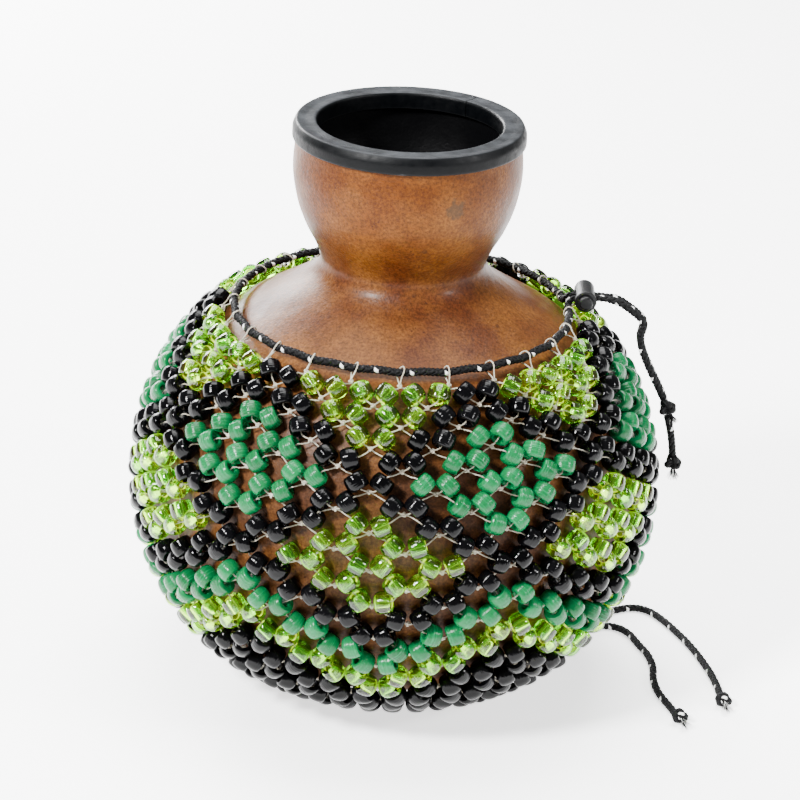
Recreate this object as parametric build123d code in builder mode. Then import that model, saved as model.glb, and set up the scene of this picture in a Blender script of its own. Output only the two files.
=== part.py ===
"""Shekere: a hollow gourd rattle inside a loose net of pony beads, held by two drawstrings.

The gourd stands on its foot, mouth up. +Z is up, the origin is at the middle of the foot, and the
front of the bead pattern faces -Y. Everything is in millimetres.
"""
from build123d import *
import math
import os

os.makedirs("parts", exist_ok=True)

# Gourd outline (radius, height) from the shoulder down to the foot, and from the shoulder up.
FOOT_RADIUS = 26.0
UNDERSIDE = (60.0, 14.3)
LOWER_SIDE = (86.4, 38.2)
EQUATOR = (98.0, 80.0)
UPPER_SIDE = (91.1, 115.8)
SHOULDER = (62.8, 149.7)
SHOULDER_SLOPE = (0.843, -0.537)
NECK = ((45.6, 160.1), (36.1, 166.9), (32.5, 173.5), (34.8, 180.5), (38.9, 188.3))
CUP = ((42.4, 197.8), (44.3, 209.5), (43.7, 220.5))
LIP = (42.7, 227.4)
LIP_SLOPE = (-0.17, 1.0)
WALL = 5.2

# Mouth rim: a soft channel pressed over the lip, butted at one seam.
RIM_TOP = 229.4
RIM_SKIRT_BOTTOM = 222.4
RIM_OUTER_RADIUS = 45.0
RIM_TOP_RADIUS = 43.6
RIM_INNER_RADIUS = 35.6
RIM_TOP_DISH = 0.8
RIM_GAP = 0.2
RIM_ROUNDING = 0.9
RIM_SEAM_WIDTH = 0.3
RIM_SEAM_ANGLE = 143.0

# Net: knots on a diamond lattice, with one bead on every strand between two knots.
LOOP_COUNT = 24
STRING_RADIUS = 0.5
KNOT_RADIUS = 1.2
KNOT_HEIGHT = 4.9
STRING_GAP = 0.06
FIRST_KNOT_DISTANCE = 6.0
FIRST_ROW_STEP = 8.4
MINIMUM_ROW_STEP = 5.0
ROW_SEARCH_STEP = 0.05
CENTRE_ANGLE = -6.9
LEAN_PER_ROW = 0.33
BEAD_SPACING = 8.87
PAIR_GAP = 0.24
ROWS_PER_STRAND_NODE = 4
ROWS_PER_KNOT_NODE = 7

# Pony bead: a ball cut flat at both ends, with a wide hole.
BEAD_RADIUS = 4.3
BEAD_LENGTH = 6.0
BEAD_HOLE_RADIUS = 1.9

# Drawstring rings, and the string loops that hold the net on them.
CORD_RADIUS = 1.4
TOP_RING = (65.9, 153.2)
BOTTOM_RING = (53.2, 7.3)
LOOP_SLACK = 0.15
LOOP_END_SPREAD = 0.62
BOTTOM_EXIT_ANGLE = 104.7
TOP_RING_OPENING = 7.8

# Cord lock: a barrel across the two top tails, with a sprung plunger that pinches them.
LOCK_CENTRE = (72.4, 9.2, 157.1)
LOCK_TRAVEL_DIRECTION = (1.0, 0.0, 0.0)
BARREL_RADIUS = 4.0
BARREL_BACK = -8.9
BARREL_FRONT = 6.6
BARREL_COLLAR_RADIUS = 4.3
BARREL_COLLAR_LENGTH = 1.6
BARREL_COLLAR_ROUNDING = 0.5
BARREL_ROUNDING = 1.6
CHAMBER_BACK = -7.4
PLUNGER_RADIUS = 2.8
PLUNGER_GAP = 0.1
PLUNGER_BACK = -4.05
PLUNGER_FRONT = 8.9
PLUNGER_ROUNDING = 0.8
PLUNGER_PRESS = 2.0
TAIL_OFFSET = 1.5
CORD_GAP = 0.2
SPRING_WIRE_RADIUS = 0.17
SPRING_RADIUS = 1.9
SPRING_PITCH = 0.42
SPRING_TURNS = 2
SPRING_GAP = 0.05

# Free tails of the drawstrings: the route of each cord's middle. The two top tails run side by
# side, so beyond the lock they share their (x, z) points.
ARC_SHARE = 0.45
LONG_TAIL_START = ((64.4, 13.9, 153.2), (65.0, 11.5, 154.9), (66.9, 10.7, 157.1))
SHORT_TAIL_START = ((65.8, 4.0, 153.2), (65.6, 6.6, 154.6), (67.6, 7.7, 157.1))
TOP_TAIL_SHARED = (
    (84.2, 157.1),
    (91.2, 152.6),
    (97.3, 147.5),
    (95.2, 141.9),
    (96.7, 135.4),
    (100.0, 128.3),
    (104.0, 120.9),
)
LONG_TAIL_END = ((107.7, 113.4), (109.6, 105.5), (112.0, 97.0), (112.9, 89.2))
SHORT_TAIL_END = ((106.9, 115.1),)
SHORT_KNOT_SHIFT = 1.8
BOTTOM_TAIL_A = (
    (57.1, 16.8, 5.6),
    (64.8, 20.3, 3.5),
    (74.5, 25.8, 1.6),
    (86.5, 31.4, 1.5),
    (97.6, 38.2, 1.5),
    (105.2, 41.6, 1.5),
    (111.8, 39.6, 1.5),
    (116.6, 33.4, 1.5),
    (121.8, 23.6, 1.5),
    (127.8, 10.2, 1.5),
    (132.6, -5.4, 1.5),
    (135.9, -19.6, 1.5),
    (137.0, -33.0, 1.5),
)
BOTTOM_TAIL_B = (
    (57.9, 13.4, 5.6),
    (66.2, 15.0, 3.4),
    (77.0, 18.6, 1.6),
    (88.4, 23.6, 1.5),
    (97.0, 23.8, 1.5),
    (102.6, 18.4, 1.5),
    (105.6, 9.4, 1.5),
    (109.6, 0.2, 1.5),
    (111.0, -10.4, 1.5),
    (110.0, -20.8, 1.5),
    (111.6, -31.8, 1.5),
    (115.6, -41.6, 1.5),
    (117.4, -47.6, 1.5),
)
RING_KNOT_RADIUS = 55.5
RING_KNOT_HEIGHT = 6.3
RING_KNOT_SIZE = (7.0, 8.4, 5.4)
RING_KNOT_ROUNDING = 2.2
END_KNOT_RADIUS = 3.2
END_KNOT_LENGTH = 7.5
END_KNOT_ROUNDING = 2.4
END_TIP_RADIUS = 1.2
END_TIP_LENGTH = 3.0
FLOOR_GAP = 0.1

# Bead colours of one motif, six of which go round the net. A row is read from the middle of the
# motif outwards, in half loops: l is clear lime, g is opaque green and b is black.
CHART = (
    "l.l.b",
    ".l.b.",
    "l.b.g",
    ".b.g.",
    "b.g.g",
    ".b.g.",
    "l.b.g",
    ".l.b.",
    "l.l.b",
    ".l.b.",
    "l.b.g",
    ".b.g.",
    "b.g.l",
    ".g.l.",
    "g.l.b",
    ".l.b.",
    "l.b.b",
    ".b.b.",
    "b.b.b",
    ".b.b.",
)
MOTIF_HALF_LOOPS = 8
# The shapes that the coloured beads make: colour, first row, last row, name.
MOTIFS = (
    ("l", 1, 3, "lime_triangle_beads"),
    ("g", 3, 7, "green_diamond_beads"),
    ("l", 7, 11, "lime_diamond_beads"),
    ("g", 11, 15, "green_zigzag_beads"),
    ("l", 13, 17, "lime_zigzag_beads"),
)

half_loops = 2 * LOOP_COUNT
half_loop_angle = 360.0 / half_loops
bead_end_radius = math.sqrt(BEAD_RADIUS**2 - (BEAD_LENGTH / 2) ** 2)


def save(part, name):
    """Labels a finished piece and writes it as its own file."""
    part.label = name
    export_step(part, f"parts/{name}.step")


def around(radius, height, angle):
    """A point off the axis, with its angle counted from the front (-Y) towards +X."""
    turn = math.radians(angle)
    return Vector(radius * math.sin(turn), -radius * math.cos(turn), height)


# --- Gourd ---------------------------------------------------------------------------------------

with BuildLine() as bulb:
    upper_shoulder = TangentArc(SHOULDER, UPPER_SIDE, tangent=SHOULDER_SLOPE)
    upper_side = TangentArc(upper_shoulder @ 1, EQUATOR, tangent=upper_shoulder % 1)
    lower_side = TangentArc(upper_side @ 1, LOWER_SIDE, tangent=upper_side % 1)
    underside = TangentArc(lower_side @ 1, UNDERSIDE, tangent=lower_side % 1)
    heel = TangentArc(underside @ 1, (FOOT_RADIUS, 0), tangent=underside % 1)
bulb_outline = bulb.wire()

with BuildPart() as gourd_shell:
    with BuildSketch(Plane.XZ):
        with BuildLine():
            add(bulb_outline)
            Line((FOOT_RADIUS, 0), (0, 0))
            Line((0, 0), (0, LIP[1]))
            Line((0, LIP[1]), LIP)
            rising = (-SHOULDER_SLOPE[0], -SHOULDER_SLOPE[1])
            Spline(SHOULDER, *NECK, *CUP, LIP, tangents=(rising, LIP_SLOPE))
        make_face()
    revolve(axis=Axis.Z)
    mouth = gourd_shell.faces().sort_by(Axis.Z)[-1]
    offset(amount=-WALL, openings=mouth)
save(gourd_shell.part, "gourd_shell")

lip_inner_radius = LIP[0] - WALL
with BuildPart() as mouth_rim:
    with BuildSketch(Plane.XZ) as channel:
        with BuildLine():
            Polyline(
                (RIM_OUTER_RADIUS, RIM_SKIRT_BOTTOM),
                (RIM_TOP_RADIUS, RIM_TOP),
                (RIM_INNER_RADIUS, RIM_TOP - RIM_TOP_DISH),
                (RIM_INNER_RADIUS, RIM_SKIRT_BOTTOM),
                (lip_inner_radius - RIM_GAP - 0.3, RIM_SKIRT_BOTTOM),
                (lip_inner_radius - RIM_GAP, LIP[1] + RIM_GAP),
                (LIP[0] + RIM_GAP, LIP[1] + RIM_GAP),
                (CUP[-1][0] + RIM_GAP, RIM_SKIRT_BOTTOM),
                close=True,
            )
        make_face()
        top_corners = channel.vertices().filter_by_position(Axis.Y, RIM_TOP - 1, RIM_TOP)
        fillet(top_corners, radius=RIM_ROUNDING)
    revolve(axis=Axis.Z)
    seam_middle = around((RIM_OUTER_RADIUS + RIM_INNER_RADIUS) / 2, RIM_TOP, RIM_SEAM_ANGLE)
    with BuildSketch(Plane(origin=seam_middle, z_dir=(0, 0, 1))):
        Rectangle(3 * (RIM_OUTER_RADIUS - RIM_INNER_RADIUS), RIM_SEAM_WIDTH, rotation=RIM_SEAM_ANGLE - 90)
    extrude(amount=RIM_SKIRT_BOTTOM - RIM_TOP - 1, mode=Mode.SUBTRACT)
save(mouth_rim.part, "mouth_rim")

# --- Net -----------------------------------------------------------------------------------------


def net_point(distance, height=KNOT_HEIGHT):
    """(radius, height) of a point of the net, by its distance along the gourd from the shoulder."""
    at = bulb_outline.position_at(distance, position_mode=PositionMode.LENGTH)
    along = bulb_outline.tangent_at(distance, position_mode=PositionMode.LENGTH)
    return at + Vector(-along.Y, along.X) * height


def strand(upper, lower):
    """Sideways reach and length of a strand between the knots of two rows, given as net points."""
    turn = math.radians(half_loop_angle)
    sideways = upper.X * math.sin(turn)
    return sideways, math.hypot(sideways, upper.X * math.cos(turn) - lower.X, upper.Y - lower.Y)


def half_pair(upper, lower):
    """Sideways distance of a bead from its knot, where the two beads over one knot just clear."""
    sideways, length = strand(upper, lower)
    cosine = sideways / length
    sine = math.sqrt(1 - cosine**2)
    return BEAD_LENGTH / 2 * cosine + bead_end_radius * sine + PAIR_GAP / 2


def strand_bead(upper, lower, upper_turn, lower_turn):
    """Middle of the bead on a strand, and the strand's direction, from its two knots."""
    lower_end = around(lower.X, lower.Y, lower_turn)
    along = around(upper.X, upper.Y, upper_turn) - lower_end
    share = half_pair(upper, lower) / strand(upper, lower)[0]
    return lower_end + along * share, along


def next_row(rows):
    """Where the next row of knots lies, as close as the beads of two rows let it."""
    above, last = net_point(rows[-2]), net_point(rows[-1])
    bead_above, _ = strand_bead(above, last, half_loop_angle, 0)
    distance = rows[-1] + MINIMUM_ROW_STEP
    while True:
        bead_below, _ = strand_bead(last, net_point(distance), 0, half_loop_angle)
        if (bead_above - bead_below).length >= BEAD_SPACING:
            return distance
        distance += ROW_SEARCH_STEP


knot_rows = [FIRST_KNOT_DISTANCE, FIRST_KNOT_DISTANCE + FIRST_ROW_STEP]
while len(knot_rows) <= len(CHART):
    knot_rows.append(next_row(knot_rows))
knot_profile = [net_point(distance) for distance in knot_rows]


def knot_turn(row, half_loop):
    """Angle of the knot at a row and half loop."""
    return CENTRE_ANGLE + LEAN_PER_ROW * row + half_loop_angle * half_loop


def bead_node(row, half_loop):
    """Name of the piece that a pair of beads belongs to."""
    from_middle = half_loop % MOTIF_HALF_LOOPS
    colour = CHART[row - 1][min(from_middle, MOTIF_HALF_LOOPS - from_middle)]
    for motif_colour, first, last, name in MOTIFS:
        if colour == motif_colour and first <= row <= last:
            return name
    return f"black_beads_row_{row:02d}"


bead_places = {}
strand_places = {}
knot_places = {}
for row in range(len(knot_rows)):
    for half_loop in range((row + 1) % 2, half_loops, 2):
        lower = around(knot_profile[row].X, knot_profile[row].Y, knot_turn(row, half_loop))
        band = "abc"[row // ROWS_PER_KNOT_NODE]
        knot_places.setdefault(f"net_knots_{band}", []).append(Location(lower))
        for side in (-1, 1) if row > 0 else ():
            lower_turn = knot_turn(row, half_loop)
            upper_turn = knot_turn(row - 1, half_loop + side)
            rows = knot_profile[row - 1], knot_profile[row]
            middle, along = strand_bead(*rows, upper_turn, lower_turn)
            place = Plane(origin=middle, z_dir=along).location
            bead_places.setdefault(bead_node(row, half_loop), []).append(place)
            place = Plane(origin=lower + along / 2, z_dir=along).location
            strand_places.setdefault(row, {}).setdefault(round(along.length, 3), []).append(place)

with BuildPart() as bead:
    with BuildSketch(Plane.XZ):
        with BuildLine():
            half = BEAD_LENGTH / 2
            side = ThreePointArc((bead_end_radius, -half), (BEAD_RADIUS, 0), (bead_end_radius, half))
            Polyline(side @ 1, (BEAD_HOLE_RADIUS, half), (BEAD_HOLE_RADIUS, -half), side @ 0)
        make_face()
    revolve(axis=Axis.Z)

for name, places in bead_places.items():
    with BuildPart() as beads:
        with Locations(*places):
            add(bead.part)
    save(beads.part, name)

for first_row in range(1, len(knot_rows), ROWS_PER_STRAND_NODE):
    with BuildPart() as strands:
        for row in range(first_row, first_row + ROWS_PER_STRAND_NODE):
            for length, places in strand_places[row].items():
                with Locations(*places):
                    Cylinder(STRING_RADIUS, length - 2 * (KNOT_RADIUS + STRING_GAP))
    save(strands.part, f"net_strands_{'abcde'[first_row // ROWS_PER_STRAND_NODE]}")

for name, places in knot_places.items():
    with BuildPart() as knots:
        with Locations(*places):
            Sphere(KNOT_RADIUS)
    save(knots.part, name)

# --- Drawstrings ---------------------------------------------------------------------------------


def drawstring(ring, first_angle, last_angle):
    """An open ring of cord that runs anticlockwise from one angle to the other."""
    start = around(*ring, first_angle)
    with BuildPart() as cord:
        with BuildSketch(Plane(origin=start, z_dir=around(1, 0, first_angle + 90))):
            Circle(CORD_RADIUS)
        revolve(axis=Axis.Z, revolution_arc=last_angle - first_angle)
    return cord.part


def string_loops(ring, knot_row):
    """The string loops that tie one edge of the net to its drawstring, one at every knot."""
    ring_at = Vector(ring[0], 0, ring[1])
    knot_at = Vector(knot_profile[knot_row].X, 0, knot_profile[knot_row].Y)
    loop_radius = CORD_RADIUS + STRING_RADIUS + LOOP_SLACK
    toward_knot = (knot_at - ring_at).normalized()
    across = toward_knot.rotate(Axis.Y, 90)
    start = knot_at - toward_knot * (KNOT_RADIUS + STRING_GAP)
    with BuildPart() as loop:
        with BuildLine() as route:
            ends = []
            for side in (1, -1):
                foot = start + across * side * LOOP_END_SPREAD
                reach = foot - ring_at
                to_tangent = side * math.degrees(math.acos(loop_radius / reach.length))
                touch = ring_at + reach.normalized().rotate(Axis.Y, to_tangent) * loop_radius
                ends.append((foot, touch))
            (upper_foot, upper_touch), (lower_foot, lower_touch) = ends
            Line(upper_foot, upper_touch)
            ThreePointArc(upper_touch, ring_at - toward_knot * loop_radius, lower_touch)
            Line(lower_touch, lower_foot)
        path = route.wire()
        with BuildSketch(Plane(origin=path @ 0, z_dir=path % 0)):
            Circle(STRING_RADIUS)
        sweep(path=path)
    half_loop = (knot_row + 1) % 2
    turns = [knot_turn(knot_row, half_loop + 2 * count) - 90 for count in range(LOOP_COUNT)]
    with BuildPart() as loops:
        with Locations(*[Location((0, 0, 0), (0, 0, turn)) for turn in turns]):
            add(loop.part)
    return loops.part


# The top ring's two ends lie level with the lock, one each side of it.
top_ends = [LOCK_CENTRE[1] - TOP_RING_OPENING, LOCK_CENTRE[1] + TOP_RING_OPENING]
near_angle, far_angle = (90 + math.degrees(math.asin(end / TOP_RING[0])) for end in top_ends)
save(drawstring(TOP_RING, far_angle, near_angle + 360), "top_drawstring")
save(string_loops(TOP_RING, 0), "top_string_loops")

# The bottom ring's two ends go into its knot.
knot_half_angle = math.degrees(math.asin(RING_KNOT_SIZE[1] / 2 / BOTTOM_RING[0]))
first_angle = BOTTOM_EXIT_ANGLE + knot_half_angle
last_angle = BOTTOM_EXIT_ANGLE - knot_half_angle + 360
save(drawstring(BOTTOM_RING, first_angle, last_angle), "bottom_drawstring")
save(string_loops(BOTTOM_RING, len(CHART)), "bottom_string_loops")

with BuildPart() as ring_knot:
    outward = around(1, 0, BOTTOM_EXIT_ANGLE)
    knot_middle = around(RING_KNOT_RADIUS, RING_KNOT_HEIGHT, BOTTOM_EXIT_ANGLE)
    with BuildSketch(Plane(origin=knot_middle, x_dir=outward, z_dir=(0, 0, 1))):
        Rectangle(RING_KNOT_SIZE[0], RING_KNOT_SIZE[1])
    extrude(amount=RING_KNOT_SIZE[2] / 2, both=True)
    fillet(ring_knot.edges(), radius=RING_KNOT_ROUNDING)
save(ring_knot.part, "bottom_ring_knot")


def cord_tube(points, name):
    """A limp cord along straight runs joined by arcs as large as the runs allow."""
    corners = [Vector(*point) for point in points]
    runs = [after - before for before, after in zip(corners, corners[1:])]
    radii = []
    for before, after in zip(runs, runs[1:]):
        half_turn = math.radians(before.get_angle(after)) / 2
        radii.append(ARC_SHARE * min(before.length, after.length) / math.tan(half_turn))
    with BuildPart() as cord:
        with BuildLine() as route:
            FilletPolyline(*corners, radius=radii)
        with BuildSketch(Plane(origin=corners[0], z_dir=runs[0])):
            Circle(CORD_RADIUS)
        sweep(path=route.wire())
    length = route.wire().length
    fill = cord.part.volume / (math.pi * CORD_RADIUS**2 * length)
    print(name, "length", round(length, 1), "fill", round(fill, 4), "radii", [round(r, 1) for r in radii])
    save(cord.part, name)
    return corners[-1], runs[-1].normalized()


def end_knot(end, name, lift=0.0):
    """The overhand knot at the end of a tail, with the frayed tip that sticks out of it."""
    start = end[0] + Vector(0, 0, lift)
    with BuildPart() as knot:
        with BuildSketch(Plane(origin=start, z_dir=end[1])):
            Circle(END_KNOT_RADIUS)
        extrude(amount=END_KNOT_LENGTH)
        fillet(knot.edges().filter_by(GeomType.CIRCLE), radius=END_KNOT_ROUNDING)
        with BuildSketch(Plane(origin=start + end[1] * (END_KNOT_LENGTH / 2), z_dir=end[1])):
            Circle(END_TIP_RADIUS)
        extrude(amount=END_KNOT_LENGTH / 2 + END_TIP_LENGTH)
    save(knot.part, name)


def top_tail(ring_end, start, side, end):
    """Route of a top tail: off the ring, up into the lock, straight through it and down."""
    first = (math.sqrt(TOP_RING[0] ** 2 - ring_end**2), ring_end, TOP_RING[1])
    return (first, *start, *((x, side, z) for x, z in (*TOP_TAIL_SHARED, *end)))


long_side = LOCK_CENTRE[1] + TAIL_OFFSET
short_side = LOCK_CENTRE[1] - TAIL_OFFSET
long_tail = top_tail(top_ends[1], LONG_TAIL_START, long_side, LONG_TAIL_END)
short_tail = top_tail(top_ends[0], SHORT_TAIL_START, short_side, SHORT_TAIL_END)
lift_off_floor = END_KNOT_RADIUS + FLOOR_GAP - BOTTOM_TAIL_A[-1][2]
end_knot(cord_tube(long_tail, "top_tail_long"), "top_tail_long_knot")
end, direction = cord_tube(short_tail, "top_tail_short")
end_knot((end - Vector(0, SHORT_KNOT_SHIFT, 0), direction), "top_tail_short_knot")
end_knot(cord_tube(BOTTOM_TAIL_A, "bottom_tail_a"), "bottom_tail_a_knot", lift_off_floor)
end_knot(cord_tube(BOTTOM_TAIL_B, "bottom_tail_b"), "bottom_tail_b_knot", lift_off_floor)

# --- Cord lock -----------------------------------------------------------------------------------

# Along the lock's axis z is the distance from its middle towards the button; x is along the tails.
lock_plane = Plane(origin=LOCK_CENTRE, x_dir=LOCK_TRAVEL_DIRECTION, z_dir=(0, -1, 0))
slot_width = 2 * (CORD_RADIUS + CORD_GAP)
slot_length = 2 * (TAIL_OFFSET + CORD_RADIUS + CORD_GAP)


def on_lock_axis(distance):
    """The plane across the lock at a distance from its middle."""
    return lock_plane.offset(distance)


with BuildPart() as lock_barrel:
    with BuildSketch(on_lock_axis(BARREL_BACK)):
        Circle(BARREL_RADIUS)
    extrude(amount=BARREL_FRONT - BARREL_BACK)
    fillet(lock_barrel.edges().sort_by(Axis.Y)[-1], radius=BARREL_ROUNDING)
    with BuildSketch(on_lock_axis(BARREL_FRONT - BARREL_COLLAR_LENGTH)):
        Circle(BARREL_COLLAR_RADIUS)
    extrude(amount=BARREL_COLLAR_LENGTH)
    fillet(lock_barrel.edges().sort_by(Axis.Y)[0], radius=BARREL_COLLAR_ROUNDING)
    with BuildSketch(on_lock_axis(CHAMBER_BACK)):
        Circle(PLUNGER_RADIUS + PLUNGER_GAP)
    extrude(amount=BARREL_FRONT - CHAMBER_BACK, mode=Mode.SUBTRACT)
    across = Plane(origin=LOCK_CENTRE, x_dir=(0, -1, 0), z_dir=LOCK_TRAVEL_DIRECTION)
    with BuildSketch(across):
        SlotOverall(slot_length, slot_width)
    extrude(amount=2 * BARREL_RADIUS, both=True, mode=Mode.SUBTRACT)
save(lock_barrel.part, "lock_barrel")

with BuildPart() as lock_plunger:
    with BuildSketch(on_lock_axis(PLUNGER_BACK)):
        Circle(PLUNGER_RADIUS)
    extrude(amount=PLUNGER_FRONT - PLUNGER_BACK)
    fillet(lock_plunger.edges().sort_by(Axis.Y)[0], radius=PLUNGER_ROUNDING)
    with BuildSketch(across):
        with Locations((PLUNGER_PRESS / 2, 0)):
            SlotOverall(slot_length + PLUNGER_PRESS, slot_width)
    extrude(amount=2 * PLUNGER_RADIUS, both=True, mode=Mode.SUBTRACT)
save(lock_plunger.part, "lock_plunger")

spring_seat = on_lock_axis(CHAMBER_BACK + SPRING_WIRE_RADIUS + SPRING_GAP)
with BuildPart() as lock_spring:
    with BuildLine() as coil:
        Helix(
            SPRING_PITCH,
            SPRING_PITCH * SPRING_TURNS,
            SPRING_RADIUS,
            center=spring_seat.origin,
            direction=spring_seat.z_dir,
        )
    with BuildSketch(Plane(origin=coil.line @ 0, z_dir=coil.line % 0)):
        Circle(SPRING_WIRE_RADIUS)
    sweep(is_frenet=True)
save(lock_spring.part, "lock_spring")
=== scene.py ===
"""Shekere: the looks of a gourd rattle in a net of beads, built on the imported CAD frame.

Meshes are in metres, in the frame's own coordinates. Outlines, cord routes and rings are written in
millimetres, and MM scales them. The gourd, rim, beads, strings, cords and knots are built here as
meshes that follow the CAD nodes they stand for. The cord lock keeps its CAD shape.
"""
import math

import bpy
import numpy as np
from mathutils import Matrix, Vector


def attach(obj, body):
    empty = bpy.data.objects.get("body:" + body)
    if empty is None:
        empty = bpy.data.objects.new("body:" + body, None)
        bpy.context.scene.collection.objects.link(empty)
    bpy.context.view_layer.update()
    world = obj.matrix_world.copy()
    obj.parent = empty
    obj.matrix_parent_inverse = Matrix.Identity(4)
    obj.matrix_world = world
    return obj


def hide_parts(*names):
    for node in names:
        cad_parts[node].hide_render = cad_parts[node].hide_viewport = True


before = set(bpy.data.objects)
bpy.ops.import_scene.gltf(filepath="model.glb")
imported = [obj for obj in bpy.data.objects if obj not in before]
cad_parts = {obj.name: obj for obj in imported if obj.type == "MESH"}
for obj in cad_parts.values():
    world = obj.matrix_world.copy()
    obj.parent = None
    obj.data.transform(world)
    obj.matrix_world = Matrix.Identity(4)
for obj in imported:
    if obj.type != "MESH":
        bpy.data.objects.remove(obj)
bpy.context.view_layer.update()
MM = 0.001
UP = np.array((0.0, 0.0, 1.0))
rng = np.random.default_rng(7)

# --- Camera --------------------------------------------------------------------------------------

camera = bpy.data.objects.new("camera", bpy.data.cameras.new("camera"))
bpy.context.scene.collection.objects.link(camera)
bpy.context.scene.camera = camera
camera.data.sensor_width = 36
camera.data.lens = 119.98
camera.data.shift_x = 0.0039
camera.data.shift_y = 0.0068
# The camera looks down by PITCH at a point of the gourd's axis. Angles are in radians.
PITCH, ROLL, DISTANCE, TARGET_HEIGHT = 0.420766, 0.047002, 1.066488, 0.110
camera.matrix_world = (
    Matrix.Translation((0, 0, TARGET_HEIGHT))
    @ Matrix.Rotation(math.pi / 2 - PITCH, 4, "X")
    @ Matrix.Rotation(ROLL, 4, "Z")
    @ Matrix.Translation((0, 0, DISTANCE))
)

# --- Materials -----------------------------------------------------------------------------------


class Shader:
    """A material's node tree, with a short call for each kind of node it uses."""

    def __init__(self, name, **sockets):
        self.material = bpy.data.materials.new(name)
        self.material.use_nodes = True
        self.tree = self.material.node_tree
        self.surface = self.tree.nodes["Principled BSDF"]
        self.coords = self.tree.nodes.new("ShaderNodeTexCoord").outputs["Object"]
        self.set(**sockets)

    def put(self, value, socket):
        """Links another node's output to a socket, or sets the socket to a constant."""
        if isinstance(value, bpy.types.NodeSocket):
            self.tree.links.new(value, socket)
        elif socket.type == "RGBA":
            socket.default_value = (*value, 1)
        else:
            socket.default_value = value

    def set(self, **sockets):
        """Sets or links the surface's sockets, named with underscores for spaces."""
        for name, value in sockets.items():
            self.put(value, self.surface.inputs[name.replace("_", " ")])

    def node(self, kind, output=0, inputs=None, **settings):
        made = self.tree.nodes.new("ShaderNode" + kind)
        for name, value in settings.items():
            setattr(made, name, value)
        for name, value in (inputs or {}).items():
            self.put(value, made.inputs[name])
        return made.outputs[output]

    def noise(self, scale, detail=3.0, vector=None, roughness=0.55):
        inputs = {"Vector": vector or self.coords, "Scale": scale, "Detail": detail, "Roughness": roughness}
        return self.node("TexNoise", inputs=inputs)

    def spots(self, scale):
        """Distance to the nearest of scattered points."""
        return self.node("TexVoronoi", inputs={"Vector": self.coords, "Scale": scale})

    def ramp(self, value, low, high, start=0.0, end=1.0):
        inputs = {"Value": value, "From Min": low, "From Max": high, "To Min": start, "To Max": end}
        return self.node("MapRange", inputs=inputs)

    def math(self, operation, first, second=0.0):
        return self.node("Math", inputs={0: first, 1: second}, operation=operation)

    def colours(self, value, *stops):
        made = self.tree.nodes.new("ShaderNodeValToRGB")
        elements = made.color_ramp.elements
        while len(elements) < len(stops):
            elements.new(0.5)
        for element, (place, colour) in zip(elements, stops):
            element.position = place
            element.color = (*colour, 1)
        self.tree.links.new(value, made.inputs["Fac"])
        return made.outputs["Color"]

    def mix(self, share, first, second, blend="MIX"):
        """Two colours mixed: in a colour mix node these are inputs 0, 6 and 7 and output 2."""
        inputs = {0: share, 6: first, 7: second}
        return self.node("Mix", output=2, inputs=inputs, data_type="RGBA", blend_type=blend)

    def axis(self, name, vector=None):
        return self.node("SeparateXYZ", output=name, inputs={"Vector": vector or self.coords})

    def stretched(self, scale, vector=None):
        """Coordinates scaled by a different number along each axis."""
        return self.node("Mapping", inputs={"Vector": vector or self.coords, "Scale": scale})

    def attribute(self, name):
        return self.node("Attribute", output="Fac", attribute_name=name)

    def finish(self, colour, roughness, bumps=()):
        """The material, with its colour, its roughness and its (height, depth in metres) bumps."""
        self.set(Base_Color=colour, Roughness=roughness)
        below = {}
        for height, depth in bumps:
            inputs = {"Height": height, "Distance": depth, "Strength": 1.0, **below}
            below = {"Normal": self.node("Bump", inputs=inputs)}
        self.set(**below)
        return self.material


# Where the small dark smudge on the front of the cup is.
SMUDGE = (0.0185, -0.040, 0.2085)


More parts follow.
